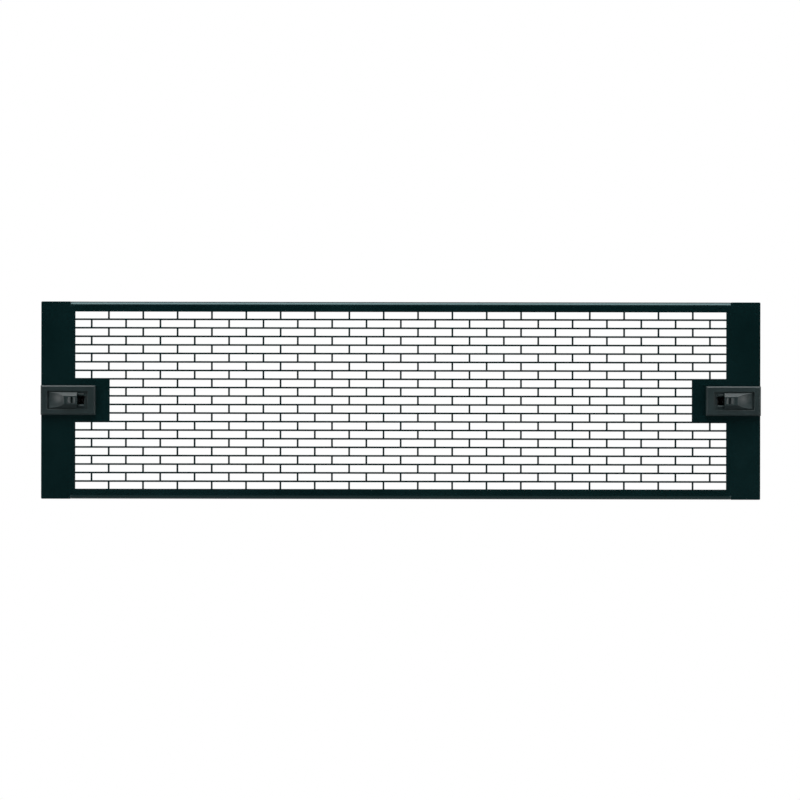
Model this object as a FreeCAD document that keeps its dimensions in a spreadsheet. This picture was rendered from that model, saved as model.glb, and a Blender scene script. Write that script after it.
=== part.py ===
"""Vented 19-inch rack blanking panel, three units high, with two tool-less spring latches.

X runs to the viewer's right, Y runs into the rack and Z runs up. The origin is the panel's
centre on the rail plane, which is the rear face of the two ears. Sizes are in millimetres.
Heights above the rail plane are counted forward, towards the viewer, so what is behind the
rails has a negative one. Both latches are drawn by the same functions: their places are
distances out from the panel's centre, times a side of -1 on the left and 1 on the right.
"""

import FreeCAD, Part
import os
import re

from FreeCAD import Placement, Rotation, Vector
from Sketcher import Constraint

SIZES = {
    # the folded, perforated sheet
    "panel_width": 482.6,
    "panel_height": 132.5,
    "sheet": 1.2,
    "ear_corner": 0.8,
    "rail_edge": 225.0,
    "rail_hole": 232.55,
    "flange_length": 443.0,
    "flange_depth": 12.7,
    "flange_corner": 3.0,
    "bend_inside": 1.4,
    "relief": 0.12,
    "brick_length": 21.85,
    "brick_height": 4.515,
    "web": 1.2,
    # the windows that each latch reaches through
    "hook_window_length": 9.3,
    "hook_window_height": 9.4,
    "leg_window_inner": 211.0,
    "leg_window_outer": 222.7,
    "leg_window_height": 7.4,
    "post_place": 208.3,
    "post_offset": 6.4,
    "post_radius": 2.1,
    "post_clear": 0.15,
    # the latch housing in front of the sheet
    "bezel_inner": 204.6,
    "bezel_height": 19.8,
    "bezel_proud": 4.0,
    "bezel_edge": 0.8,
    "recess_inner": 209.9,
    "recess_outer": 236.8,
    "recess_height": 12.1,
    "recess_depth": 1.4,
    "floor_wall": 0.9,
    "slot_inner": 210.6,
    "slot_outer": 231.2,
    "slot_height": 5.4,
    "core_inner": 213.0,
    "core_outer": 236.0,
    "core_wall": 1.5,
    "core_height": 1.3,
    "core_depth": 2.4,
    "guide_inner": 212.4,
    "guide_outer": 216.4,
    "guide_low": 2.8,
    "guide_high": 4.8,
    "guide_height": 0.9,
    "guide_slope": 0.5,
    "cheek_length": 9.0,
    "cheek_height": 9.1,
    "cheek_depth": 1.4,
    # the slider with its hook, leg and thumb grip
    "travel": 4.5,
    "play": 0.2,
    "lift": 0.1,
    "slider_wall": 1.5,
    "slider_inner": 217.0,
    "slider_height": 11.2,
    "shoulder": 227.0,
    "hook_outer": 236.6,
    "hook_wall": 3.5,
    "hook_height": 4.8,
    "hook_reach": 3.3,
    "hook_start": 2.6,
    "hook_end": 5.2,
    "hook_lead": 1.9,
    "leg_inner": 220.5,
    "leg_wall": 1.7,
    "leg_height": 6.8,
    "leg_end": 6.1,
    "neck_outer": 231.0,
    "grip_inner": 216.7,
    "grip_outer": 235.4,
    "grip_height": 10.6,
    "grip_foot": 4.0,
    "grip_lip": 0.9,
    "grip_toe": 0.3,
    "grip_low": 6.0,
    "grip_ridge": 7.4,
    "grip_slope": 2.4,
    "grip_over": 221.2,
    "ridge_step": 0.7,
    "ridge_inner": 225.2,
    "ridge_outer": 229.6,
    "crest_round": 14.0,
    "groove_middle": 220.3,
    "groove_half": 0.6,
    "groove_depth": 0.5,
    # the return spring
    "spring_inner": 209.1,
    "spring_radius": 2.05,
    "spring_depth": 3.4,
    "spring_turns": 4,
    "spring_gap": 0.05,
    "wire_radius": 0.25,
    "spigot_radius": 1.4,
    "spigot_length": 1.4,
    # the cover behind the sheet and the screws that hold it
    "cover_inner": 204.8,
    "cover_outer": 224.6,
    "cover_height": 19.8,
    "cover_depth": 7.8,
    "cover_wall": 1.3,
    "cover_round": 1.6,
    "seat_wall": 1.5,
    "seat_height": 6.0,
    "screw_radius": 1.05,
    "screw_clear": 0.05,
    "screw_length": 7.5,
    "screw_head_radius": 1.9,
    "screw_head_height": 1.4,
    "screw_head_top": 1.5,
}

BRICKS_IN_A_ROW = 19
ROWS = 21
LATCH_ROWS = 5

doc = FreeCAD.newDocument("rack_blanking_panel")
sheet = doc.addObject("Spreadsheet::Sheet", "Sizes")
for row, (alias, size) in enumerate(SIZES.items(), start=1):
    sheet.set("A%d" % row, alias)
    sheet.set("B%d" % row, str(size))
    sheet.setAlias("B%d" % row, alias)
doc.recompute()


# --- drawing ---------------------------------------------------------------------------


def formula(text):
    """The text with the sheet's name put before each of its aliases."""
    aliased = lambda word: "Sizes." + word.group() if word.group() in SIZES else word.group()
    return re.sub(r"[a-z_]+", aliased, text)


def value(text):
    """The number that a formula of the sheet's aliases comes to."""
    return float(sheet.evalExpression(formula(text)))


def new_body(label):
    body = doc.addObject("PartDesign::Body", label)
    body.Label = label
    return body


def sketch(body, name, role, start="0"):
    """An empty sketch on one of the body's own origin planes, moved along its normal."""
    plane = next(f for f in body.Origin.OriginFeatures if f.Role == role)
    drawing = body.newObject("Sketcher::SketchObject", name)
    drawing.AttachmentSupport = [(plane, "")]
    drawing.MapMode = "FlatFace"
    drawing.AttachmentOffset = Placement(Vector(0, 0, value(start)), Rotation())
    drawing.setExpression("AttachmentOffset.Base.z", formula(start))
    return drawing


def bind(drawing, kind, line, end, text):
    """Hold one point of a line or circle at the distance from the origin that is given."""
    number = drawing.addConstraint(Constraint(kind, -1, 1, line, end, value(text)))
    drawing.setExpression("Constraints[%d]" % number, formula(text))


def outline(drawing, corners):
    """A closed outline of straight lines, each corner a pair of formulas."""
    points = [Vector(value(across), value(up), 0) for across, up in corners]
    first = drawing.GeometryCount
    count = len(corners)
    for index in range(count):
        drawing.addGeometry(Part.LineSegment(points[index], points[(index + 1) % count]))
    for index, (across, up) in enumerate(corners):
        line = first + index
        drawing.addConstraint(Constraint("Coincident", line, 2, first + (index + 1) % count, 1))
        bind(drawing, "DistanceX", line, 1, across)
        bind(drawing, "DistanceY", line, 1, up)


def rectangle(drawing, left, right, low, high):
    outline(drawing, [(left, low), (right, low), (right, high), (left, high)])


def circle(drawing, across, up, radius):
    centre = Vector(value(across), value(up), 0)
    curve = drawing.addGeometry(Part.Circle(centre, Vector(0, 0, 1), value(radius)))
    bind(drawing, "DistanceX", curve, 3, across)
    bind(drawing, "DistanceY", curve, 3, up)
    number = drawing.addConstraint(Constraint("Radius", curve, value(radius)))
    drawing.setExpression("Constraints[%d]" % number, formula(radius))


def volume(body):
    return body.Shape.Volume if body.Shape.Solids else 0.0


def solid(body, kind, name, drawing, length, reverse=False, middle=False):
    """A pad or pocket as long as the formula, along the sketch's normal or about its middle."""
    before = volume(body)
    made = body.newObject("PartDesign::" + kind, name)
    made.Profile = drawing
    made.Refine = False
    if middle:
        made.SideType = "Symmetric"
    made.Reversed = (kind == "Pocket") != reverse
    made.setExpression("Length", formula(length))
    doc.recompute()
    gained = volume(body) - before
    if gained == 0 or (gained > 0) != (kind == "Pad"):
        raise ValueError("%s of %s changes the volume by %g" % (name, body.Label, gained))
    return made


def block(body, kind, name, role, start, length, *sides):
    """A rectangular pad or pocket: sides are left, right, low and high."""
    drawing = sketch(body, name + "_sketch", role, start)
    rectangle(drawing, *sides)
    return solid(body, kind, name, drawing, length)


def soften(body, kind, name, size, wanted):
    """A fillet or chamfer of the edges whose middle point the test wants."""
    edges = []
    for number, edge in enumerate(body.Tip.Shape.Edges, start=1):
        if len(edge.Vertexes) == 2:
            ends = [vertex.Point for vertex in edge.Vertexes]
            if wanted((ends[0] + ends[1]) / 2, ends[1] - ends[0]):
                edges.append("Edge%d" % number)
    made = body.newObject("PartDesign::" + kind, name)
    made.Base = (body.Tip if made != body.Tip else made.BaseFeature, edges)
    made.Refine = False
    made.setExpression("Radius" if kind == "Fillet" else "Size", formula(size))
    doc.recompute()
    return made


def near(first, second):
    return abs(first - second) < 0.01


# --- the sheet -------------------------------------------------------------------------


def grille_openings():
    """Left, right, low and high of each opening: running bond, cut square at the margins."""
    pitch = value("brick_length + web")
    rise = value("brick_height + web")
    length, height, web = value("brick_length"), value("brick_height"), value("web")
    margin = (BRICKS_IN_A_ROW * pitch - web) / 2
    for row in range(-(ROWS // 2), ROWS // 2 + 1):
        beside_latch = abs(row) <= LATCH_ROWS // 2
        edge = margin - pitch if beside_latch else margin
        shift = pitch / 2 if row % 2 else 0
        for brick in range(-(BRICKS_IN_A_ROW // 2) - 1, BRICKS_IN_A_ROW // 2 + 2):
            left = max(brick * pitch + shift - length / 2, -edge)
            right = min(brick * pitch + shift + length / 2, edge)
            if right - left > web:
                yield left, right, row * rise - height / 2, row * rise + height / 2


def grille(body):
    """The whole grille is one pocket: its 399 openings are drawn from the sheet's sizes."""
    drawing = sketch(body, "grille_sketch", "XZ_Plane")
    lines = []
    for left, right, low, high in grille_openings():
        corners = [(left, low), (right, low), (right, high), (left, high)]
        points = [Vector(across, up, 0) for across, up in corners]
        for index in range(4):
            lines.append(Part.LineSegment(points[index], points[(index + 1) % 4]))
    drawing.addGeometry(lines)
    solid(body, "Pocket", "grille", drawing, "sheet")


def latch_windows(body, side):
    """Windows for the hook and for the slider's leg, and two holes for the housing's posts."""
    drawing = sketch(body, "latch_windows_sketch", "XZ_Plane")
    rectangle(
        drawing,
        "%d * (rail_hole - hook_window_length / 2)" % side,
        "%d * (rail_hole + hook_window_length / 2)" % side,
        "-hook_window_height / 2", "hook_window_height / 2",
    )
    rectangle(
        drawing, "%d * leg_window_inner" % side, "%d * leg_window_outer" % side,
        "-leg_window_height / 2", "leg_window_height / 2",
    )
    for up in (-1, 1):
        circle(
            drawing, "%d * post_place" % side, "%d * post_offset" % up,
            "post_radius + post_clear",
        )
    solid(body, "Pocket", "latch_windows", drawing, "sheet")


def vent_panel():
    body = new_body("vent_panel")
    half_width = SIZES["panel_width"] / 2
    half_height = SIZES["panel_height"] / 2
    half_flange = SIZES["flange_length"] / 2
    block(
        body, "Pad", "web_plate", "XZ_Plane", "0", "sheet",
        "-rail_edge", "rail_edge", "-panel_height / 2", "panel_height / 2",
    )
    reliefs = sketch(body, "reliefs_sketch", "XZ_Plane")
    flanges = sketch(body, "flanges_sketch", "XZ_Plane", "-flange_depth")
    for up in (-1, 1):
        for side in (-1, 1):
            rectangle(
                reliefs, "%d * flange_length / 2" % side,
                "%d * (flange_length / 2 + relief)" % side,
                "%d * (panel_height / 2 - bend_inside - sheet - relief)" % up,
                "%d * panel_height / 2" % up,
            )
        rectangle(
            flanges, "-flange_length / 2", "flange_length / 2",
            "%d * (panel_height / 2 - sheet)" % up, "%d * panel_height / 2" % up,
        )
    solid(body, "Pocket", "reliefs", reliefs, "sheet")
    solid(body, "Pad", "flanges", flanges, "flange_depth").Refine = True
    doc.recompute()
    soften(
        body, "Fillet", "bends_inside", "bend_inside",
        lambda point, run: near(point.x, 0) and near(point.y, 0)
        and near(abs(point.z), half_height - SIZES["sheet"]),
    )
    soften(
        body, "Fillet", "bends_outside", "bend_inside + sheet",
        lambda point, run: near(point.x, 0) and near(point.y, -SIZES["sheet"])
        and near(abs(point.z), half_height),
    )
    soften(
        body, "Fillet", "flange_corners", "flange_corner",
        lambda point, run: near(abs(point.x), half_flange)
        and near(point.y, SIZES["flange_depth"]) and near(abs(run.z), SIZES["sheet"]),
    )
    # each ear is its own pad, so that its rear face is the face that meets the rail
    ears = sketch(body, "ears_sketch", "XZ_Plane")
    for side in (-1, 1):
        rectangle(
            ears, "%d * rail_edge" % side, "%d * panel_width / 2" % side,
            "-panel_height / 2", "panel_height / 2",
        )
    solid(body, "Pad", "ears", ears, "sheet")
    soften(
        body, "Fillet", "ear_corners", "ear_corner",
        lambda point, run: near(abs(point.x), half_width)
        and near(abs(point.z), half_height) and near(abs(run.y), SIZES["sheet"]),
    )
    for side in (-1, 1):
        latch_windows(body, side)
    grille(body)
    return body


# --- the latches -----------------------------------------------------------------------


def across(side, *places):
    """Formulas for places at these distances out from the centre, on the given side."""
    return ["%d * (%s)" % (side, place) for place in places]


def band(height):
    """The low and high formulas of something as tall as this, about the panel's middle."""
    return ["-(%s) / 2" % height, "(%s) / 2" % height]


BEZEL_FACE = "sheet + bezel_proud"
RECESS_FLOOR = "sheet + bezel_proud - recess_depth"
CHANNEL_ROOF = "sheet + bezel_proud - recess_depth - floor_wall"
CHANNEL_DEPTH = "bezel_proud - recess_depth - floor_wall"


def housing(side, label):
    """The moulding in front of the sheet: bezel, recess, the slider's channel and its feet."""
    body = new_body(label)
    block(
        body, "Pad", "bezel", "XZ_Plane", "sheet", "bezel_proud",
        *across(side, "bezel_inner", "panel_width / 2"), *band("bezel_height"),
    )
    face = -value(BEZEL_FACE)
    soften(
        body, "Chamfer", "bezel_edges", "bezel_edge",
        lambda point, run: near(point.y, face) and near(run.y, 0),
    )
    block(
        body, "Pocket", "recess", "XZ_Plane", RECESS_FLOOR, "recess_depth",
        *across(side, "recess_inner", "recess_outer"), *band("recess_height"),
    )
    # the cheeks and posts stand on the channel's roof and pass through the sheet
    block(
        body, "Pad", "cheeks", "XZ_Plane", "-cheek_depth", "cheek_depth + sheet",
        *across(side, "rail_hole - cheek_length / 2", "rail_hole + cheek_length / 2"),
        *band("cheek_height"),
    )
    posts = sketch(body, "posts_sketch", "XZ_Plane", "cover_wall - cover_depth")
    bores = sketch(body, "bores_sketch", "XZ_Plane", "cover_wall - cover_depth")
    for up in (-1, 1):
        place = ("%d * post_place" % side, "%d * post_offset" % up)
        circle(posts, *place, "post_radius")
        circle(bores, *place, "screw_radius + screw_clear")
    solid(body, "Pad", "posts", posts, "cover_depth - cover_wall + sheet")
    solid(body, "Pocket", "bores", bores, "screw_length - cover_wall + screw_clear")
    block(
        body, "Pocket", "channel", "XZ_Plane", "sheet", CHANNEL_DEPTH,
        *across(side, "slider_inner - travel - play", "shoulder + play"),
        *band("slider_height + 2 * play"),
    )
    block(
        body, "Pocket", "tongue_channel", "XZ_Plane", "sheet", CHANNEL_DEPTH,
        *across(side, "shoulder", "hook_outer + play"), *band("hook_height + 2 * play"),
    )
    block(
        body, "Pocket", "hook_gap", "XZ_Plane", "-cheek_depth", "cheek_depth + sheet",
        *across(side, "shoulder", "hook_outer + hook_reach"), *band("hook_height + 2 * play"),
    )
    block(
        body, "Pocket", "slot", "XZ_Plane", CHANNEL_ROOF, "floor_wall",
        *across(side, "slot_inner", "slot_outer"), *band("slot_height"),
    )
    # two low guides stand on the recess's floor beside the slot's inner end
    guides = sketch(body, "guides_sketch", "YZ_Plane", across(side, "guide_inner")[0])
    foot = "-(%s)" % RECESS_FLOOR
    for up in (-1, 1):
        outline(guides, [
            (foot, "%d * guide_low" % up), (foot, "%d * guide_high" % up),
            (foot + " - guide_height", "%d * (guide_high - guide_slope)" % up),
            (foot + " - guide_height", "%d * (guide_low + guide_slope)" % up),
        ])
    solid(body, "Pad", "guides", guides, "guide_outer - guide_inner", reverse=side < 0)
    # a moulding is cored out beside its channel, to keep its walls even
    cores = sketch(body, "cores_sketch", "XZ_Plane", "sheet")
    for up in (-1, 1):
        rectangle(
            cores, *across(side, "core_inner", "core_outer"),
            "%d * (bezel_height / 2 - core_wall - core_height)" % up,
            "%d * (bezel_height / 2 - core_wall)" % up,
        )
    solid(body, "Pocket", "cores", cores, "core_depth")
    return body


def profile(body, kind, name, corners, height):
    """A pad or pocket of an outline seen from above, as tall as the formula says."""
    drawing = sketch(body, name + "_sketch", "XY_Plane")
    outline(drawing, corners)
    return solid(body, kind, name, drawing, height, middle=True)


def spigot(body, name, side, place, outward):
    """A short round peg that goes into one end of the spring."""
    drawing = sketch(body, name + "_sketch", "YZ_Plane", "%d * %s" % (side, place))
    circle(drawing, "spring_depth", "0", "spigot_radius")
    solid(body, "Pad", name, drawing, "spigot_length", reverse=side * outward < 0)


def slider(side, label):
    """The moving piece: plate and tongue in the channel, grip in front, hook and leg behind."""
    body = new_body(label)
    plate = "sheet + lift"
    block(
        body, "Pad", "plate", "XZ_Plane", plate, "slider_wall",
        *across(side, "slider_inner", "shoulder"), *band("slider_height"),
    )
    block(
        body, "Pad", "tongue", "XZ_Plane", plate, "slider_wall",
        *across(side, "shoulder", "hook_outer"), *band("hook_height"),
    )
    block(
        body, "Pad", "neck", "XZ_Plane", "sheet + lift + slider_wall",
        "grip_foot - (sheet + lift + slider_wall)",
        *across(side, "slider_inner", "neck_outer"), *band("slot_height - 2 * play"),
    )
    grip = [
        ("grip_inner", "grip_foot"), ("grip_outer", "grip_foot"),
        ("grip_outer", "grip_foot + grip_toe"), ("ridge_outer", "grip_ridge"),
        ("ridge_inner", "grip_ridge"), ("ridge_inner - ridge_step", "grip_low"),
        ("groove_middle + groove_half", "grip_low"),
        ("groove_middle", "grip_low - groove_depth"),
        ("groove_middle - groove_half", "grip_low"), ("grip_inner", "grip_low"),
    ]
    profile(
        body, "Pad", "grip",
        [("%d * (%s)" % (side, out), "-(%s)" % forward) for out, forward in grip],
        "grip_height",
    )
    crest = SIZES["ridge_outer"]
    soften(
        body, "Fillet", "crest", "crest_round",
        lambda point, run: near(abs(point.x), crest) and near(point.y, -SIZES["grip_ridge"]),
    )
    # the ridge and the lower pad inside it each slope away above and below
    for part, top, inner, outer in (
        ("ridge", "grip_ridge", "ridge_inner - ridge_step", "grip_outer"),
        ("pad", "grip_low", "grip_inner", "ridge_inner - ridge_step"),
    ):
        slopes = sketch(body, part + "_slopes_sketch", "YZ_Plane", across(side, inner)[0])
        for up in (-1, 1):
            outline(slopes, [
                ("-(grip_foot + grip_lip)", "%d * grip_height / 2" % up),
                ("-(%s)" % top, "%d * grip_height / 2" % up),
                ("-(%s)" % top, "%d * (grip_height / 2 - grip_slope)" % up),
            ])
        solid(
            body, "Pocket", part + "_slopes", slopes, "%s - (%s)" % (outer, inner),
            reverse=side < 0,
        )
    # the pad's underside clears the two guides when the slider is drawn back
    clearance = sketch(body, "clearance_sketch", "XZ_Plane", "grip_foot")
    for up in (-1, 1):
        rectangle(
            clearance, *across(side, "grip_inner", "grip_over"),
            "%d * (guide_low - play)" % up, "%d * grip_height / 2" % up,
        )
    solid(body, "Pocket", "clearance", clearance, "grip_lip")
    hook = [
        ("hook_outer - hook_wall", "-(sheet + lift)"), ("hook_outer", "-(sheet + lift)"),
        ("hook_outer", "hook_start"), ("hook_outer + hook_reach", "hook_start"),
        ("hook_outer + hook_reach", "hook_end - hook_lead"),
        ("hook_outer", "hook_end"), ("hook_outer - hook_wall", "hook_end"),
    ]
    profile(
        body, "Pad", "hook", [("%d * (%s)" % (side, out), back) for out, back in hook],
        "hook_height",
    )
    block(
        body, "Pad", "leg", "XZ_Plane", "-leg_end", "leg_end + sheet + lift",
        *across(side, "leg_inner", "leg_inner + leg_wall"), *band("leg_height"),
    )
    spigot(body, "leg_spigot", side, "leg_inner", -1)
    return body


def spring(side, label):
    """The return spring, between the cover's seat and the slider's leg, its wire four-sided."""
    body = new_body(label)
    drawing = sketch(body, "wire_sketch", "XY_Plane")
    start = "%d * (spring_inner + spring_gap + wire_radius)" % side
    outline(drawing, [
        ("%s + wire_radius * cos(%d)" % (start, turn),
         "spring_depth + spring_radius + wire_radius * sin(%d)" % turn)
        for turn in range(0, 360, 90)
    ])
    axis_start = Vector(value(start), value("spring_depth"), 0)
    axis = drawing.addGeometry(
        Part.LineSegment(axis_start, axis_start + Vector(side, 0, 0)), True
    )
    bind(drawing, "DistanceX", axis, 1, start)
    bind(drawing, "DistanceY", axis, 1, "spring_depth")
    drawing.addConstraint(Constraint("Horizontal", axis))
    coil = body.newObject("PartDesign::AdditiveHelix", "coil")
    coil.Profile = drawing
    coil.ReferenceAxis = (drawing, ["Axis0"])
    coil.Mode = "height-turns-angle"
    coil.setExpression(
        "Height", formula("leg_inner - spring_inner - 2 * (spring_gap + wire_radius)")
    )
    coil.setExpression("Turns", formula("spring_turns"))
    coil.Refine = False
    doc.recompute()
    return body


def cover(side, label):
    """The cup behind the sheet, with the spring's seat and a hole for each screw."""
    body = new_body(label)
    block(
        body, "Pad", "cup", "XZ_Plane", "-cover_depth", "cover_depth",
        *across(side, "cover_inner", "cover_outer"), *band("cover_height"),
    )
    soften(
        body, "Fillet", "cup_corners", "cover_round",
        lambda point, run: near(abs(run.y), SIZES["cover_depth"]),
    )
    block(
        body, "Pocket", "cavity", "XZ_Plane", "cover_wall - cover_depth",
        "cover_depth - cover_wall",
        *across(side, "cover_inner + cover_wall", "cover_outer - cover_wall"),
        *band("cover_height - 2 * cover_wall"),
    )
    block(
        body, "Pad", "seat", "XZ_Plane", "cover_wall - cover_depth",
        "cover_depth - cover_wall",
        *across(side, "spring_inner - seat_wall", "spring_inner"), *band("seat_height"),
    )
    spigot(body, "seat_spigot", side, "spring_inner", 1)
    holes = sketch(body, "holes_sketch", "XZ_Plane", "-cover_depth")
    for up in (-1, 1):
        circle(
            holes, "%d * post_place" % side, "%d * post_offset" % up,
            "screw_radius + 2 * screw_clear",
        )
    solid(body, "Pocket", "holes", holes, "cover_wall")
    return body


def screws(side, label):
    """Two pan-head screws, turned about the post's middle and mirrored to the other post."""
    body = new_body(label)
    body.AllowCompound = True
    drawing = sketch(body, "screw_sketch", "XY_Plane", "post_offset")
    middle = "%d * post_place" % side
    head = "cover_depth + screw_head_height"
    outline(drawing, [
        (middle, "cover_depth - screw_length"),
        (middle + " + screw_radius", "cover_depth - screw_length"),
        (middle + " + screw_radius", "cover_depth"),
        (middle + " + screw_head_radius", "cover_depth"),
        (middle + " + screw_head_top", head),
        (middle, head),
    ])
    turned = body.newObject("PartDesign::Revolution", "turned")
    turned.Profile = drawing
    turned.ReferenceAxis = (drawing, ["Edge6"])
    turned.Angle = 360
    turned.Refine = False
    doc.recompute()
    other = body.newObject("PartDesign::Mirrored", "other_screw")
    other.Originals = [turned]
    plane = next(f for f in body.Origin.OriginFeatures if f.Role == "XY_Plane")
    other.MirrorPlane = (plane, [""])
    other.Refine = False
    body.Tip = other
    doc.recompute()
    return body


PIECES = [vent_panel()]
for side, name in ((-1, "left"), (1, "right")):
    PIECES.append(housing(side, name + "_latch_housing"))
    PIECES.append(slider(side, name + "_latch_slider"))
    PIECES.append(spring(side, name + "_latch_spring"))
    PIECES.append(cover(side, name + "_latch_cover"))
    PIECES.append(screws(side, name + "_latch_screws"))


# --- checking and writing --------------------------------------------------------------

doc.recompute()
for item in doc.Objects:
    if "Invalid" in item.State or "Error" in item.State:
        raise ValueError("%s has failed: %s" % (item.Label, item.State))
for piece in PIECES:
    if piece.Shape.isNull() or not piece.Shape.isValid() or not piece.Shape.Solids:
        raise ValueError("%s has no good shape" % piece.Label)

os.makedirs("parts", exist_ok=True)
for piece in PIECES:
    piece.Shape.exportStep("parts/%s.step" % piece.Label)
    print("%-24s %d solid(s) %10.1f mm3" % (
        piece.Label, len(piece.Shape.Solids), piece.Shape.Volume))
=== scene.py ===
"""Finished visual of a vented blanking panel for a 19-inch rack, with its two slide latches."""
import math

import bmesh
import bpy
from mathutils import Matrix, Vector


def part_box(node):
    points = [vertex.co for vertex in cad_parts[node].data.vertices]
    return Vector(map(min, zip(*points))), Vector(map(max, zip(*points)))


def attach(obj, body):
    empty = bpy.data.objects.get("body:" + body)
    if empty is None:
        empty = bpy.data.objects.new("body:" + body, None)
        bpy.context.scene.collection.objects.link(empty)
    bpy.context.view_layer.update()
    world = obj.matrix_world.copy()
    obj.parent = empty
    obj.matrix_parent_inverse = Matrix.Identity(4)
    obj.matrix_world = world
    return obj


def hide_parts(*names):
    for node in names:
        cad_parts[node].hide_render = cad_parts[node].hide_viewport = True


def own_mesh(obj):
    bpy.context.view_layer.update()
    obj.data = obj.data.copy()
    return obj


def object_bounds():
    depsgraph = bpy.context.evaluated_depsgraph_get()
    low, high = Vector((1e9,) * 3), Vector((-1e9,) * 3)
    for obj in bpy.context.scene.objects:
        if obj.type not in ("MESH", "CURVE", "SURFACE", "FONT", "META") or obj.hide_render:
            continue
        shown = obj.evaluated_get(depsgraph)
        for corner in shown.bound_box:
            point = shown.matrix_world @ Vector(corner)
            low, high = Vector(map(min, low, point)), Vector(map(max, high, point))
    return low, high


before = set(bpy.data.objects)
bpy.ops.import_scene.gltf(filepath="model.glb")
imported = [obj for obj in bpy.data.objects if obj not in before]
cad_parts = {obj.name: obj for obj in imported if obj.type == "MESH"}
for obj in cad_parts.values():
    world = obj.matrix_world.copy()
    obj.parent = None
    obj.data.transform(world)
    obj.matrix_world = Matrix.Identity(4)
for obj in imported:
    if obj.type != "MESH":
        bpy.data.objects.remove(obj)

bl_info = {
    "name": "Vented rack blanking panel",
    "version": (1, 0, 0),
    "blender": (4, 5, 0),
    "location": "View3D > Sidebar > Rack panel",
    "description": "Builds the folded vent panel, its slide latches, and the studio",
    "category": "Object",
}

CAD_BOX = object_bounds()
SIDES = {"left": -1.0, "right": 1.0}
LEVELS = {"lower": -1.0, "upper": 1.0}
QUARTERS = [(way, level) for way in SIDES.values() for level in LEVELS.values()]
RIGHTWARDS = Vector((1.0, 0.0, 0.0))
FORWARDS = Vector((0.0, -1.0, 0.0))
UPWARDS = Vector((0.0, 0.0, 1.0))
SQUARE_TURN = math.radians(90.0)
FULL_TURN = math.radians(360.0)

# how near two places are when they count as one: on a mesh, at a cut and at a fine cut
SAME_PLACE = 1e-6
SAME_CUT = 1e-7
SAME_FINE_CUT = 1e-8
DIGITS = 7          # of a place in metres, where places are sorted by their value
SQUARELY = 0.9999   # how far a flat face's normal reaches along an axis

# the grille: openings in a full row, rows, and the middle rows that stop short of the latches
BRICKS_IN_A_ROW = 19
ROWS = 21
LATCH_ROWS = 5

# where a latch goes through the sheet, measured out from the middle of the panel
HOOK_WINDOW = (0.2279, 0.2372, 0.0094)      # inner side, outer side and height
LEG_WINDOW = (0.2110, 0.2227, 0.0074)
POST_OUT, POST_UP = 0.2083, 0.0064          # the posts that take the cover's screws
POST_HOLE, POST_ROOM = 0.00225, 0.0026      # radius of a post's hole, half the square round it

# the thumb grip: places measured out from the middle of the panel, heights from the rails
GRIP_INNER, GRIP_OUTER = 0.2167, 0.2353     # its two ends
GRIP_HALF = 0.0053                          # half its size up the panel
GRIP_FOOT, GRIP_LIP = 0.0041, 0.00493       # its foot, and the cut that it is rebuilt above
GRIP_SLOPE = 0.0024                         # width of the slope at its top and its bottom
GRIP_ROUNDING = 0.0003
GRIP_STEP = 0.0002                          # from one cut across its curves to the next
HOLLOW_START = 0.2249                       # just before the hollow begins
HOLLOW_OUT, HOLLOW_FORWARD = 0.23607, 0.0235    # the point that the hollow is turned about
NOTCH_OUT, NOTCH_UP = 0.2203, 0.0021        # the notch's place, half its length up the panel
NOTCH_HALF, NOTCH_WALL = 0.0005, 0.0001     # half its width, and how far its walls lean

# the return spring, between the cover's seat and the slider's leg
SPRING_SEAT, SPRING_LEG = 0.20915, 0.22045
SPRING_DEPTH, SPRING_RADIUS = 0.0034, 0.00205
SPRING_TURNS = 4

# a cover's screw: radius and depth behind the rails of each corner of its outline
SCREW_HEAD, SCREW_TOP = 0.0019, 0.0092
SCREW_OUTLINE = (
    (0.0, 0.0003), (0.0007, 0.0003), (0.00105, 0.0008), (0.00105, 0.0078), (SCREW_HEAD, 0.0078),
    (SCREW_HEAD, 0.0083), (0.00175, 0.0088), (0.00135, SCREW_TOP), (0.0, SCREW_TOP))
CROSS_REACH, CROSS_SLOT = 0.00095, 0.00022  # half the length and half the width of its recess
CROSS_DEPTH, CROSS_TAPER = 0.0007, 0.62     # and the share of its size left at the bottom

# the studio: place, width and height of each lamp, which looks at the middle of the panel
LAMPS = {
    "overhead": ((0.0, -0.50, 1.28), 2.2, 1.2),
    "front": ((0.0, -1.25, 1.15), 2.2, 0.7),
    "left_side": ((-1.9, -1.5, -0.35), 1.0, 0.8),
    "right_side": ((1.9, -1.5, -0.35), 1.0, 0.8),
}
CAMERA_ACROSS, CAMERA_UP = -0.0005, 0.0004  # how far it stands from the panel's middle
CAMERA_ROLL = math.radians(-0.09)
SENSOR_WIDTH = 36.0
FLOOR_HALF = 6.0                            # half the width of the floor
WHITE = (1.0, 1.0, 1.0, 1.0)


# ---------------------------------------------------------------- sizes and colours

def length(name, description, default):
    return bpy.props.FloatProperty(
        name=name, description=description, default=default,
        subtype="DISTANCE", unit="LENGTH", precision=5)


def colour(name, description, default):
    return bpy.props.FloatVectorProperty(
        name=name, description=description, default=default,
        subtype="COLOR", size=3, min=0.0, max=1.0)


def brightness(name, which, default):
    return bpy.props.FloatProperty(
        name=name, description=f"Brightness of the {which}, where 1 is white", default=default)


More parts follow.
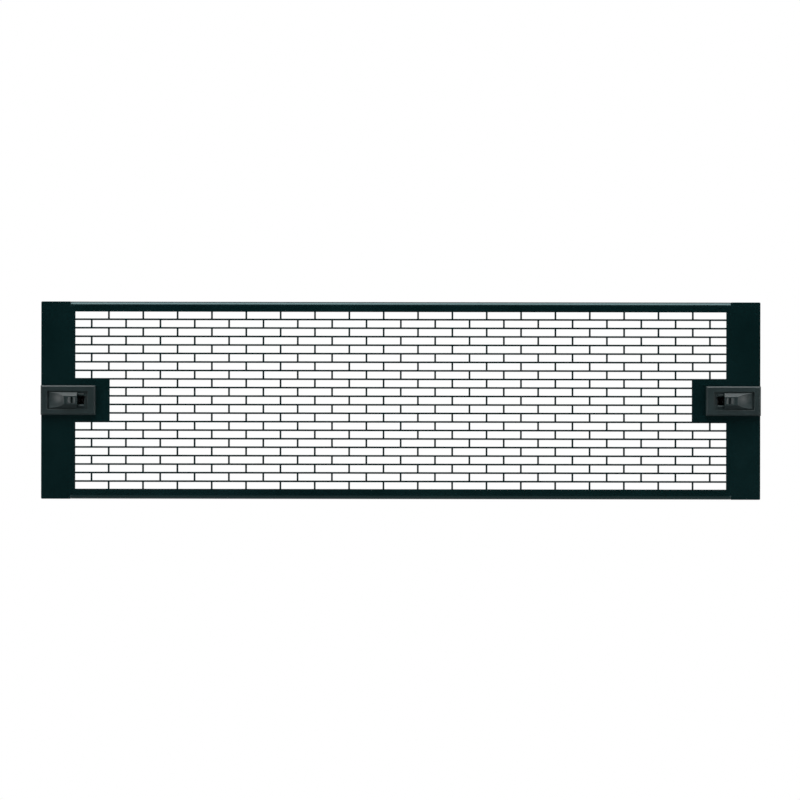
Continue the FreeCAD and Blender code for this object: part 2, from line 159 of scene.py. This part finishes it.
class SheetSettings(bpy.types.PropertyGroup):
    thickness: length("Thickness", "Thickness of the steel sheet", 0.0012)
    bend: length("Bend", "Inside radius of the two bends", 0.0014)
    brick_length: length("Opening length", "Length of one brick-shaped opening", 0.02185)
    brick_height: length("Opening height", "Height of one brick-shaped opening", 0.004515)
    web: length("Web", "Width of the steel left between two openings", 0.0012)
    flange_length: length("Flange length", "Length of the two folded flanges", 0.443)
    flange_corner: length("Flange corner", "Radius of the flanges' free corners", 0.003)
    relief: length("Relief", "Width of the slit between a flange and an ear", 0.00003)
    ear_corner: length("Ear corner", "Radius of the panel's four corners", 0.0008)
    coat_edge: length("Coated edge", "Rounding that the coat gives to a cut edge", 0.00012)
    coat_colour: colour("Powder coat", "Colour of the coated sheet", (0.0002, 0.0052, 0.0056))
    coat_grain: length("Coat grain", "Width of one bump of the powder coat", 0.0009)


class LatchSettings(bpy.types.PropertyGroup):
    moulding_colour: colour("Moulding", "Colour of the moulded parts", (0.0036, 0.0105, 0.0112))
    moulded_edge: length("Moulded edge", "Rounding of the moulded edges", 0.0002)
    grip_top: length("Grip height", "From the rails to the flat of the thumb grip", 0.0074)
    hollow_radius: length("Thumb hollow", "Radius of the hollow, seen from above", 0.0192)
    hollow_crown: length("Hollow crown", "Radius of the hollow, seen from the side", 0.0200)
    notch_depth: length("Notch depth", "Depth of the short notch in the grip", 0.0016)
    wire: length("Wire", "Diameter of the spring's wire", 0.0005)
    spring_kept: bpy.props.FloatProperty(
        name="Spring kept", subtype="FACTOR", min=0.1, max=1.0, default=0.60,
        description="Share of the spring's length left when the latch is drawn back")


class StudioSettings(bpy.types.PropertyGroup):
    camera_distance: length("Camera distance", "From the camera to the front of the rails", 2.0)
    view_width: length("View width", "Width that the camera takes in at the rails", 0.5371)
    floor_gap: length("Floor gap", "From the floor to the bottom of the panel", 0.45)
    overhead: brightness("Overhead lamp", "lamp above", 6.2)
    front: brightness("Front lamp", "high lamp in front", 1.8)
    left_side: brightness("Left side lamp", "low lamp on the left", 13.0)
    right_side: brightness("Right side lamp", "low lamp on the right", 14.0)


# ---------------------------------------------------------------- materials

def material(name):
    """A new material, its tree and its Principled shader."""
    made = bpy.data.materials.new(name)
    made.use_nodes = True
    tree = made.node_tree
    return made, tree, tree.nodes["Principled BSDF"]


def node(tree, kind, **values):
    """A node with its properties and plain inputs set by name."""
    new = tree.nodes.new(kind)
    for key, value in values.items():
        if key in new.inputs:
            new.inputs[key].default_value = value
        else:
            setattr(new, key, value)
    return new


def grain(tree, size, detail=2.0, offset=0.0):
    """Noise whose bumps are about size wide."""
    place = node(tree, "ShaderNodeTexCoord")
    noise = node(tree, "ShaderNodeTexNoise", Scale=1.0 / size, Detail=detail)
    shift = node(tree, "ShaderNodeMapping")
    shift.inputs["Location"].default_value = (offset, offset, offset)
    tree.links.new(place.outputs["Object"], shift.inputs["Vector"])
    tree.links.new(shift.outputs["Vector"], noise.inputs["Vector"])
    return noise.outputs["Fac"]


def spread(tree, fac, low, high, bottom=0.0, top=1.0):
    """Stretches low..high to bottom..top, and holds what lies beyond at its ends."""
    ranged = node(tree, "ShaderNodeMapRange")
    ranged.inputs["From Min"].default_value = low
    ranged.inputs["From Max"].default_value = high
    ranged.inputs["To Min"].default_value = bottom
    ranged.inputs["To Max"].default_value = top
    tree.links.new(fac, ranged.inputs["Value"])
    return ranged.outputs["Result"]


def tint(tree, fac, colour, share):
    """A colour that wanders by a share either way as fac goes from 0 to 1."""
    ramp = node(tree, "ShaderNodeValToRGB")
    ramp.color_ramp.elements[0].color = [c * (1.0 - share) for c in colour] + [1.0]
    ramp.color_ramp.elements[1].color = [c * (1.0 + share) for c in colour] + [1.0]
    tree.links.new(fac, ramp.inputs["Fac"])
    return ramp.outputs["Color"]


def wander(tree, shader, noise, colour, share, smooth, rough):
    """Lets the colour and the roughness change a little from place to place with a noise."""
    low, high = 0.3, 0.7    # nearly all of a noise lies between these
    colours = tint(tree, spread(tree, noise, low, high), colour, share)
    tree.links.new(colours, shader.inputs["Base Color"])
    tree.links.new(spread(tree, noise, low, high, smooth, rough), shader.inputs["Roughness"])


def bump(tree, shader, height, distance, strength):
    """Joins a height to the shader's normal."""
    bumped = node(tree, "ShaderNodeBump", Strength=strength, Distance=distance)
    tree.links.new(height, bumped.inputs["Height"])
    tree.links.new(bumped.outputs["Normal"], shader.inputs["Normal"])


def powder_coat(colour, size):
    """Satin coat with fine orange peel, and patches 40 bumps wide of slightly other sheen."""
    made, tree, shader = material("powder_coat")
    orange_peel = grain(tree, size, detail=3.0)
    patches = grain(tree, size * 40.0, detail=3.0, offset=0.7)
    wander(tree, shader, patches, colour, share=0.18, smooth=0.20, rough=0.25)
    shader.inputs["Specular Tint"].default_value = (0.62, 0.97, 1.0, 1.0)
    bump(tree, shader, orange_peel, distance=0.00004, strength=0.6)
    return made


def black_moulding(colour):
    """Dull plastic with the fine spark grain of its mould."""
    made, tree, shader = material("black_moulding")
    spark = grain(tree, size=0.00025)
    patches = grain(tree, size=0.012, offset=0.3)
    wander(tree, shader, patches, colour, share=0.12, smooth=0.40, rough=0.47)
    shader.inputs["Specular IOR Level"].default_value = 0.34
    bump(tree, shader, spark, distance=0.00002, strength=0.6)
    return made


def bright_steel(name, colour, smooth, size):
    """Bright steel with small marks."""
    made, tree, shader = material(name)
    marks = grain(tree, size, detail=4.0)
    wander(tree, shader, marks, colour, share=0.10, smooth=smooth, rough=smooth + 0.16)
    shader.inputs["Metallic"].default_value = 1.0
    bump(tree, shader, marks, distance=0.00002, strength=0.4)
    return made


# ---------------------------------------------------------------- the folded sheet

def openings(sizes):
    """Left, right, low and high of each opening: running bond, cut square at the margins."""
    pitch = sizes.brick_length + sizes.web
    rise = sizes.brick_height + sizes.web
    margin = (BRICKS_IN_A_ROW * pitch - sizes.web) / 2
    for row in range(-(ROWS // 2), ROWS // 2 + 1):
        edge = margin - pitch if abs(row) <= LATCH_ROWS // 2 else margin
        shift = pitch / 2 if row % 2 else 0.0
        low = row * rise - sizes.brick_height / 2
        high = row * rise + sizes.brick_height / 2
        for brick in range(-(BRICKS_IN_A_ROW // 2) - 1, BRICKS_IN_A_ROW // 2 + 2):
            middle = brick * pitch + shift
            left = max(middle - sizes.brick_length / 2, -edge)
            right = min(middle + sizes.brick_length / 2, edge)
            if right - left > sizes.web:
                yield left, right, low, high


def latch_windows():
    """Left, right, low and high of the windows for each hook and each slider's leg."""
    for way in SIDES.values():
        for inner, outer, height in (HOOK_WINDOW, LEG_WINDOW):
            yield (*sorted((way * inner, way * outer)), -height / 2, height / 2)


def cut_across(bm, axis, places):
    """Cuts the flat sheet along lines at these places on one axis."""
    for place in sorted({round(p, DIGITS) for p in places}):
        bmesh.ops.bisect_plane(
            bm, geom=bm.verts[:] + bm.edges[:] + bm.faces[:], dist=SAME_CUT,
            plane_co=axis * place, plane_no=axis)


def remove_inside(bm, boxes):
    """Takes out the faces whose middles lie in these boxes of left, right, low and high."""
    rows = {}
    for left, right, low, high in boxes:
        row = (round(low, DIGITS), round(high, DIGITS))
        rows.setdefault(row, []).append((left, right))
    gone = []
    for face in bm.faces:
        middle = face.calc_center_median()
        for (low, high), spans in rows.items():
            if low < middle.z < high and any(left < middle.x < right for left, right in spans):
                gone.append(face)
                break
    bmesh.ops.delete(bm, geom=gone, context="FACES")


def post_hole(bm, across, up):
    """Turns the square that is cut out for a post into a round hole."""
    reach = POST_ROOM + SAME_PLACE
    rim = [e for e in bm.edges if e.is_boundary and all(
        abs(v.co.x - across) < reach and abs(v.co.z - up) < reach for v in e.verts)]
    centre = Matrix.Translation((across, rim[0].verts[0].co.y, up))
    hole = bmesh.ops.create_circle(
        bm, segments=32, radius=POST_HOLE,
        matrix=centre @ Matrix.Rotation(SQUARE_TURN, 4, "X"))["verts"]
    ring = list(dict.fromkeys(e for v in hole for e in v.link_edges))
    bmesh.ops.bridge_loops(bm, edges=rim + ring)


def punched_face(sizes, right, top, fold):
    """The sheet's flat front face: punched and slit, and cut back to its two fold lines."""
    flange_end = sizes.flange_length / 2
    slit_end = flange_end + sizes.relief
    slit_foot = fold - sizes.relief
    posts = [(way * POST_OUT, level * POST_UP) for way, level in QUARTERS]
    gone = [*openings(sizes), *latch_windows()]
    gone += [(x - POST_ROOM, x + POST_ROOM, z - POST_ROOM, z + POST_ROOM) for x, z in posts]
    for way, level in QUARTERS:
        slit = sorted((way * flange_end, way * slit_end))
        gone.append((*slit, *sorted((level * slit_foot, level * top))))
    for level in LEVELS.values():
        gone.append((-flange_end, flange_end, *sorted((level * fold, level * top))))

    bm = bmesh.new()
    bmesh.ops.create_grid(bm, x_segments=1, y_segments=1, size=1.0)
    upright = Matrix.Rotation(SQUARE_TURN, 4, "X")
    stretched = Matrix.Diagonal((right, 1.0, top, 1.0))
    forward = Matrix.Translation((0.0, -sizes.thickness, 0.0))
    bmesh.ops.transform(bm, verts=bm.verts, matrix=forward @ stretched @ upright)
    cut_across(bm, RIGHTWARDS, [x for box in gone for x in box[:2]])
    cut_across(bm, UPWARDS, [z for box in gone for z in box[2:]])
    remove_inside(bm, gone)
    for x, z in posts:
        post_hole(bm, x, z)
    return bm


def fold_flange(bm, sizes, level, fold, back):
    """Grows a bend and its flange from the edges left along the lower or upper fold line."""
    reach = sizes.flange_length / 2 + SAME_PLACE
    fold_line = [e for e in bm.edges if e.is_boundary and all(
        abs(v.co.z - level * fold) < SAME_PLACE and abs(v.co.x) < reach for v in e.verts)]
    turned = bmesh.ops.spin(
        bm, geom=fold_line, cent=(0.0, sizes.bend, level * fold), axis=RIGHTWARDS,
        angle=-level * SQUARE_TURN, steps=8, use_merge=False)["geom_last"]
    rim = [g for g in turned if isinstance(g, bmesh.types.BMEdge)]
    grown = bmesh.ops.extrude_edge_only(bm, edges=rim)["geom"]
    moved = [g for g in grown if isinstance(g, bmesh.types.BMVert)]
    bmesh.ops.translate(bm, verts=moved, vec=(0.0, back - sizes.bend, 0.0))


def round_corners(bm, across, depth, up, radius):
    """Rounds the thin sheet's outline at a corner and at its three mirror images."""
    corners = [Vector((way * across, depth, level * up)) for way, level in QUARTERS]
    at = [v for v in bm.verts if any((v.co - c).length < SAME_PLACE for c in corners)]
    if len(at) != len(corners):
        raise RuntimeError(f"{len(at)} of {len(corners)} corners found")
    bmesh.ops.bevel(
        bm, geom=at, offset=radius, segments=6, profile=0.5, affect="VERTICES",
        clamp_overlap=False, material=-1)


def thicken(bm, sizes, top):
    """Gives the sheet its thickness behind its front face, and its cut edges their rounding."""
    bmesh.ops.recalc_face_normals(bm, faces=bm.faces)
    flat = next(f for f in bm.faces if abs(f.normal.y) > SQUARELY)
    if flat.normal.y > 0.0:
        bmesh.ops.reverse_faces(bm, faces=bm.faces)
    # the sheet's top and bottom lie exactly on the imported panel's box
    for vert in bm.verts:
        if abs(abs(vert.co.z) - top) < SAME_PLACE:
            vert.co.z = math.copysign(top, vert.co.z)
    bmesh.ops.solidify(bm, geom=bm.faces, thickness=sizes.thickness)
    hard = math.radians(50.0)
    rims = [e for e in bm.edges
            if len(e.link_faces) == 2 and e.is_convex and e.calc_face_angle() > hard]
    bmesh.ops.bevel(
        bm, geom=rims, offset=sizes.coat_edge, segments=2, profile=0.5, affect="EDGES",
        clamp_overlap=False, material=-1)
    bmesh.ops.dissolve_degenerate(bm, dist=SAME_CUT, edges=bm.edges)
    for face in bm.faces:
        face.smooth = max(abs(n) for n in face.normal) < SQUARELY


def folded_sheet(sizes):
    """The steel panel: one punched sheet with two ears and two return flanges."""
    _, (right, back, top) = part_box("vent_panel")
    fold = top - (sizes.bend + sizes.thickness)
    bm = punched_face(sizes, right, top, fold)
    for level in LEVELS.values():
        fold_flange(bm, sizes, level, fold, back)
    bmesh.ops.remove_doubles(bm, verts=bm.verts, dist=SAME_PLACE)
    round_corners(bm, sizes.flange_length / 2, back, top, sizes.flange_corner)
    round_corners(bm, right, -sizes.thickness, top, sizes.ear_corner)
    thicken(bm, sizes, top)
    return bm


# ---------------------------------------------------------------- the latches

def merged(node_name):
    """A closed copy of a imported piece's mesh, its flat triangles joined."""
    bm = bmesh.new()
    bm.from_mesh(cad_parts[node_name].data)
    bmesh.ops.remove_doubles(bm, verts=bm.verts, dist=2.0 * SAME_PLACE)
    bmesh.ops.dissolve_limit(
        bm, angle_limit=math.radians(0.5), use_dissolve_boundaries=False,
        verts=bm.verts, edges=bm.edges)
    return bm


def with_borders(faces):
    """Faces with their edges and corners, each once and in a fixed order."""
    edges = dict.fromkeys(e for f in faces for e in f.edges)
    corners = dict.fromkeys(v for f in faces for v in f.verts)
    return [*faces, *edges, *corners]


def soft_least(first, second):
    """The smaller of two heights, rounded over where they meet."""
    overlap = max(GRIP_ROUNDING - abs(first - second), 0.0)
    return min(first, second) - overlap ** 2 / (4.0 * GRIP_ROUNDING)


def in_notch(distance, half):
    """1 on the notch's floor, 0 outside it, and between them on a wall."""
    return min(max((half - abs(distance)) / NOTCH_WALL, 0.0), 1.0)


def grip_height(out, up, sizes):
    """Height of the grip's face at a place out from the panel's middle and up from it."""
    sloped = GRIP_LIP + (GRIP_HALF - abs(up)) * (sizes.grip_top - GRIP_LIP) / GRIP_SLOPE
    height = soft_least(sizes.grip_top, sloped)
    sag = sizes.hollow_crown - math.sqrt(sizes.hollow_crown ** 2 - up ** 2)
    reach = (sizes.hollow_radius - sag) ** 2 - (HOLLOW_OUT - out) ** 2
    height = soft_least(height, HOLLOW_FORWARD - math.sqrt(max(reach, 0.0)))
    turn = GRIP_ROUNDING - (out - GRIP_INNER)
    if turn > 0.0:
        drop = GRIP_ROUNDING - math.sqrt(max(GRIP_ROUNDING ** 2 - turn ** 2, 0.0))
        height = max(GRIP_LIP, height - drop)
    notch = in_notch(out - NOTCH_OUT, NOTCH_HALF) * in_notch(up, NOTCH_UP)
    return height - sizes.notch_depth * notch


def grip_cuts():
    """Places out and places up at which the grip's face is cut, so that it can be shaped."""
    turns = [SQUARE_TURN * step / 5 for step in range(1, 6)]
    out = [GRIP_INNER + GRIP_ROUNDING * (1.0 - math.cos(turn)) for turn in turns]
    walls = (-NOTCH_HALF, NOTCH_WALL - NOTCH_HALF, NOTCH_HALF - NOTCH_WALL, NOTCH_HALF)
    out += [NOTCH_OUT + wall for wall in walls]
    steps = round((GRIP_OUTER - HOLLOW_START) / GRIP_STEP)
    out += [HOLLOW_START + GRIP_STEP * step for step in range(steps + 1)]
    steps = int(GRIP_HALF / GRIP_STEP)
    up = [GRIP_STEP * step for step in range(-steps, steps + 1)]
    crest = GRIP_HALF - GRIP_SLOPE
    borders = (NOTCH_UP, crest - GRIP_STEP, crest, crest + GRIP_STEP)
    up += [level * place for level in LEVELS.values() for place in borders]
    return out, up


def thumb_grip(bm, way, sizes):
    """Gives a slider's front its flat pad, the short notch in it and the hollow for the thumb."""
    # the outer end is raised past the cut first, so that the cut leaves a plain rectangle
    for vert in bm.verts:
        if abs(vert.co.x) > GRIP_OUTER and GRIP_FOOT < -vert.co.y < GRIP_LIP:
            vert.co.y = -GRIP_LIP - GRIP_ROUNDING
    cut = bmesh.ops.bisect_plane(
        bm, geom=bm.verts[:] + bm.edges[:] + bm.faces[:], dist=SAME_FINE_CUT,
        plane_co=FORWARDS * GRIP_LIP, plane_no=FORWARDS, clear_outer=True)["geom_cut"]
    rim = [g for g in cut if isinstance(g, bmesh.types.BMVert)]
    for vert in rim:
        if abs(vert.co.z) > GRIP_HALF - GRIP_ROUNDING:
            vert.co.z = math.copysign(GRIP_HALF, vert.co.z)
    bmesh.ops.remove_doubles(bm, verts=rim, dist=GRIP_STEP / 10.0)
    hole = [e for e in bm.edges if e.is_boundary]
    geom = with_borders(bmesh.ops.holes_fill(bm, edges=hole, sides=0)["faces"])
    out, up = grip_cuts()
    for axis, places in ((RIGHTWARDS * way, out), (UPWARDS, up)):
        for place in places:
            geom = bmesh.ops.bisect_plane(
                bm, geom=geom, dist=SAME_FINE_CUT, plane_co=axis * place, plane_no=axis)["geom"]
    grip = [g for g in geom if isinstance(g, bmesh.types.BMFace)]
    for vert in {v for f in grip for v in f.verts}:
        vert.co.y = -grip_height(abs(vert.co.x), vert.co.z, sizes)
    return grip


def moulded(bm, radius):
    """Rounds a moulding's outer edges and leaves its thin lips and inner corners sharp."""
    flat, curved, hard = (math.radians(angle) for angle in (1.0, 30.0, 35.0))
    for face in bm.faces:
        bends = [e.calc_face_angle() for e in face.edges if len(e.link_faces) == 2]
        face.smooth = any(flat < bend < curved for bend in bends)
    width = {f: 2.0 * f.calc_area() / f.calc_perimeter() for f in bm.faces}
    room = 2.2 * radius     # width that a face needs to keep beside a rounded edge
    outer = [e for e in bm.edges
             if len(e.link_faces) == 2 and e.is_convex and e.calc_face_angle() > hard
             and min(width[f] for f in e.link_faces) > room]
    rounded = bmesh.ops.bevel(
        bm, geom=outer, offset=radius, segments=2, profile=0.5, affect="EDGES",
        clamp_overlap=False, material=-1)["faces"]
    for face in rounded:
        face.smooth = True


def coil_spring(way, sizes):
    """Round wire wound along X between the cover's seat and the slider's leg."""
    start, end = SPRING_SEAT + sizes.wire / 2, SPRING_LEG - sizes.wire / 2
    steps = 24 * SPRING_TURNS
    bm = bmesh.new()
    bmesh.ops.create_circle(
        bm, cap_ends=True, segments=10, radius=sizes.wire / 2,
        matrix=Matrix.Translation((way * start, SPRING_DEPTH + SPRING_RADIUS, 0.0)))
    bmesh.ops.spin(
        bm, geom=bm.verts[:] + bm.edges[:] + bm.faces[:], cent=(0.0, SPRING_DEPTH, 0.0),
        axis=RIGHTWARDS, dvec=(way * (end - start) / steps, 0.0, 0.0),
        angle=SPRING_TURNS * FULL_TURN, steps=steps)
    bmesh.ops.holes_fill(bm, edges=bm.edges, sides=0)
    bmesh.ops.recalc_face_normals(bm, faces=bm.faces)
    for face in bm.faces:
        face.smooth = len(face.verts) == 4      # the wire's cut ends stay flat
    return bm


def pan_screw(bm, across, up):
    """A pan-head screw with a cross recess, turned about a line along Y."""
    def head_top():
        return [f for f in bm.faces if all(
            abs(v.co.y - SCREW_TOP) < SAME_CUT and abs(v.co.z - up) < SCREW_HEAD
            for v in f.verts)]

    corners = [bm.verts.new((across + radius, depth, up)) for radius, depth in SCREW_OUTLINE]
    edges = [bm.edges.new(pair) for pair in zip(corners, corners[1:])]
    bmesh.ops.spin(
        bm, geom=corners + edges, cent=(across, 0.0, up), axis=(0.0, 1.0, 0.0),
        angle=FULL_TURN, steps=32, use_merge=True)
    bmesh.ops.remove_doubles(bm, verts=bm.verts, dist=SAME_CUT)
    bmesh.ops.dissolve_faces(bm, faces=head_top())
    for axis, middle in ((RIGHTWARDS, across), (UPWARDS, up)):
        for place in (-CROSS_REACH, -CROSS_SLOT, CROSS_SLOT, CROSS_REACH):
            bmesh.ops.bisect_plane(
                bm, geom=with_borders(head_top()), dist=SAME_FINE_CUT,
                plane_co=axis * (middle + place), plane_no=axis)
    cross = []
    for face in head_top():
        middle = face.calc_center_median()
        x, z = abs(middle.x - across), abs(middle.z - up)
        if max(x, z) < CROSS_REACH and min(x, z) < CROSS_SLOT:
            cross.append(face)
    sunk = bmesh.ops.extrude_face_region(bm, geom=cross)["geom"]
    bmesh.ops.delete(bm, geom=cross, context="FACES_KEEP_BOUNDARY")
    floor = [g for g in sunk if isinstance(g, bmesh.types.BMVert)]
    bmesh.ops.translate(bm, verts=floor, vec=(0.0, -CROSS_DEPTH, 0.0))
    bmesh.ops.scale(
        bm, verts=floor, vec=(CROSS_TAPER, 1.0, CROSS_TAPER),
        space=Matrix.Translation((-across, 0.0, -up)))


def screw_pair(way):
    """The two screws of one cover."""
    bm = bmesh.new()
    for up in (-POST_UP, POST_UP):
        pan_screw(bm, way * POST_OUT, up)
    bmesh.ops.recalc_face_normals(bm, faces=bm.faces)
    for face in bm.faces:
        face.smooth = True
    curved = math.radians(30.0)
    for edge in bm.edges:
        edge.smooth = len(edge.link_faces) == 2 and edge.calc_face_angle() < curved
    return bm


# ---------------------------------------------------------------- steps

def finished(bm, name, body, stands_for, surface):
    """Makes an object of the mesh, lays its material on it and joins it to the frame."""
    data = bpy.data.meshes.new(name)
    bm.to_mesh(data)
    bm.free()
    data.materials.append(surface)
    piece = bpy.data.objects.new(name, data)
    bpy.context.scene.collection.objects.link(piece)
    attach(piece, body)
    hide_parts(stands_for)
    return piece


class Step:
    """What all the steps share: each can be repeated and undone"""
    bl_options = {"REGISTER", "UNDO"}


class PANEL_OT_sheet(Step, bpy.types.Operator):
    """Make the folded and punched steel sheet"""
    bl_idname = "rack_panel.sheet"
    bl_label = "Folded sheet"

    def execute(self, context):
        sizes = context.scene.rack_sheet
        finished(folded_sheet(sizes), "folded_sheet", "panel", "vent_panel",
                 powder_coat(sizes.coat_colour, sizes.coat_grain))
        return {"FINISHED"}


class PANEL_OT_mouldings(Step, bpy.types.Operator):
    """Make the housing, slider and cover of both latches"""
    bl_idname = "rack_panel.mouldings"
    bl_label = "Latch mouldings"

    def execute(self, context):
        sizes = context.scene.rack_latch
        surface = black_moulding(sizes.moulding_colour)
        for side, way in SIDES.items():
            parts = (("housing", "panel"), ("slider", side + "_latch"), ("cover", "panel"))
            for part, body in parts:
                source = f"{side}_latch_{part}"
                bm = merged(source)
                grip = thumb_grip(bm, way, sizes) if part == "slider" else []
                moulded(bm, sizes.moulded_edge)
                for face in grip:
                    if face.is_valid:
                        face.smooth = True
                finished(bm, f"{side}_{part}", body, source, surface)
        return {"FINISHED"}


class PANEL_OT_springs(Step, bpy.types.Operator):
    """Wind the two return springs"""
    bl_idname = "rack_panel.springs"
    bl_label = "Return springs"

    def execute(self, context):
        sizes = context.scene.rack_latch
        surface = bright_steel("spring_wire", (0.55, 0.56, 0.57), smooth=0.25, size=0.0006)
        for side, way in SIDES.items():
            piece = finished(coil_spring(way, sizes), side + "_spring", "panel",
                             side + "_latch_spring", surface)
            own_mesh(piece)
        return {"FINISHED"}


class PANEL_OT_screws(Step, bpy.types.Operator):
    """Turn the four screws that hold the covers"""
    bl_idname = "rack_panel.screws"
    bl_label = "Cover screws"

    def execute(self, context):
        surface = bright_steel("screw_steel", (0.42, 0.43, 0.44), smooth=0.30, size=0.0012)
        for side, way in SIDES.items():
            finished(screw_pair(way), side + "_screws", "panel",
                     side + "_latch_screws", surface)
        return {"FINISHED"}


# ---------------------------------------------------------------- studio

def soft_light(name, place, width, height, strength):
    """An area lamp of a given brightness, where 1 is white."""
    lamp = bpy.data.lights.new(name, "AREA")
    lamp.shape = "RECTANGLE"
    lamp.size = width
    lamp.size_y = height
    lamp.energy = strength * math.pi * width * height
    holder = bpy.data.objects.new(name, lamp)
    holder.location = place
    towards = Vector((0.0, 0.0, 0.0)) - Vector(place)
    holder.rotation_euler = towards.to_track_quat("-Z", "Y").to_euler()
    bpy.context.scene.collection.objects.link(holder)


def behind(tree, along, bottom=0.0):
    """Goes from bottom in front of the panel to 1 a short way behind it."""
    return spread(tree, along, low=0.0, high=0.3, bottom=bottom)


def both(tree, operation, first, second):
    """Two values joined by an operation, such as their product or the greater of them."""
    joined = node(tree, "ShaderNodeMath", operation=operation)
    tree.links.new(first, joined.inputs[0])
    tree.links.new(second, joined.inputs[1])
    return joined.outputs["Value"]


def shows_white(tree, along):
    """Says where white shows: to the camera, and in reflections of what is behind the panel."""
    paths = node(tree, "ShaderNodeLightPath").outputs
    shone = both(tree, "MULTIPLY", paths["Is Glossy Ray"], behind(tree, along))
    through = both(tree, "MAXIMUM", shone, paths["Is Transmission Ray"])
    return both(tree, "MAXIMUM", through, paths["Is Camera Ray"])


def studio_world():
    """White where the camera looks past the object, and a dim room for the light."""
    world = bpy.data.worlds.new("studio")
    world.use_nodes = True
    tree = world.node_tree
    tree.nodes.clear()
    place = node(tree, "ShaderNodeTexCoord")
    split = node(tree, "ShaderNodeSeparateXYZ")
    tree.links.new(place.outputs["Generated"], split.inputs["Vector"])
    room = behind(tree, split.outputs["Y"], bottom=0.02)
    mixed = node(tree, "ShaderNodeMix", data_type="FLOAT")
    share, plain, white = (mixed.inputs[place] for place in (0, 2, 3))
    tree.links.new(shows_white(tree, split.outputs["Y"]), share)
    tree.links.new(room, plain)
    white.default_value = 1.0
    light = node(tree, "ShaderNodeBackground", Color=WHITE)
    tree.links.new(mixed.outputs[0], light.inputs["Strength"])
    out = node(tree, "ShaderNodeOutputWorld")
    tree.links.new(light.outputs["Background"], out.inputs["Surface"])
    bpy.context.scene.world = world


def floor_surface():
    """Pale floor that shows the object's shadow near it and white further off."""
    made, tree, shader = material("floor")
    clouds = grain(tree, size=0.4, detail=3.0)
    grey = tint(tree, clouds, (0.25, 0.25, 0.25), share=0.02)
    tree.links.new(grey, shader.inputs["Base Color"])
    shader.inputs["Roughness"].default_value = 0.85
    place = node(tree, "ShaderNodeTexCoord")
    split = node(tree, "ShaderNodeSeparateXYZ")
    tree.links.new(place.outputs["Object"], split.inputs["Vector"])
    distance = node(tree, "ShaderNodeVectorMath", operation="LENGTH")
    tree.links.new(place.outputs["Object"], distance.inputs[0])
    near, far, white_near = 0.45, 0.70, 0.70
    share = spread(tree, distance.outputs["Value"], near, far, white_near, 1.0)
    seen = both(tree, "MULTIPLY", share, shows_white(tree, split.outputs["Y"]))
    white = node(tree, "ShaderNodeEmission", Color=WHITE, Strength=1.0)
    mixed = node(tree, "ShaderNodeMixShader")
    tree.links.new(seen, mixed.inputs["Fac"])
    tree.links.new(shader.outputs["BSDF"], mixed.inputs[1])
    tree.links.new(white.outputs["Emission"], mixed.inputs[2])
    tree.links.new(mixed.outputs["Shader"], tree.nodes["Material Output"].inputs["Surface"])
    return made


def studio_floor(gap):
    """A wide floor, a gap below the panel."""
    low = CAD_BOX[0][2] - gap
    bm = bmesh.new()
    bmesh.ops.create_grid(
        bm, x_segments=1, y_segments=1, size=FLOOR_HALF,
        matrix=Matrix.Translation((0.0, 0.0, low)))
    data = bpy.data.meshes.new("floor")
    bm.to_mesh(data)
    bm.free()
    data.materials.append(floor_surface())
    floor = bpy.data.objects.new("floor", data)
    bpy.context.scene.collection.objects.link(floor)


def studio_camera(distance, view_width):
    """A camera straight in front of the panel, with some room round it."""
    camera = bpy.data.objects.new("camera", bpy.data.cameras.new("camera"))
    camera.data.sensor_width = SENSOR_WIDTH
    camera.data.lens = SENSOR_WIDTH * distance / view_width
    camera.location = (CAMERA_ACROSS, -distance, CAMERA_UP)
    camera.rotation_euler = (SQUARE_TURN, CAMERA_ROLL, 0.0)
    bpy.context.scene.collection.objects.link(camera)
    bpy.context.scene.camera = camera


class PANEL_OT_studio(Step, bpy.types.Operator):
    """Make the floor, the lamps and the camera"""
    bl_idname = "rack_panel.studio"
    bl_label = "Studio"

    def execute(self, context):
        settings = context.scene.rack_studio
        studio_floor(settings.floor_gap)
        studio_world()
        for name, (place, width, height) in LAMPS.items():
            soft_light(name, place, width, height, getattr(settings, name))
        studio_camera(settings.camera_distance, settings.view_width)
        context.scene.view_settings.view_transform = "Standard"
        return {"FINISHED"}


class PANEL_PT_steps(bpy.types.Panel):
    """The sizes of the panel and the steps that build it"""
    bl_idname = "PANEL_PT_steps"
    bl_label = "Rack panel"
    bl_space_type = "VIEW_3D"
    bl_region_type = "UI"
    bl_category = "Rack panel"

    def draw(self, context):
        for group in GROUPS:
            settings = getattr(context.scene, group)
            for name in settings.__annotations__:
                self.layout.prop(settings, name)
        for step in STEPS:
            self.layout.operator(step.bl_idname)


STEPS = (PANEL_OT_sheet, PANEL_OT_mouldings, PANEL_OT_springs, PANEL_OT_screws, PANEL_OT_studio)
GROUPS = {"rack_sheet": SheetSettings, "rack_latch": LatchSettings, "rack_studio": StudioSettings}


def register():
    for kind in (*GROUPS.values(), *STEPS, PANEL_PT_steps):
        bpy.utils.register_class(kind)
    for name, kind in GROUPS.items():
        setattr(bpy.types.Scene, name, bpy.props.PointerProperty(type=kind))


def unregister():
    for name in GROUPS:
        delattr(bpy.types.Scene, name)
    for kind in reversed((*GROUPS.values(), *STEPS, PANEL_PT_steps)):
        bpy.utils.unregister_class(kind)


def main():
    register()
    bpy.ops.rack_panel.sheet()
    bpy.ops.rack_panel.mouldings()
    bpy.ops.rack_panel.springs()
    bpy.ops.rack_panel.screws()
    bpy.ops.rack_panel.studio()


if __name__ == "__main__":
    main()
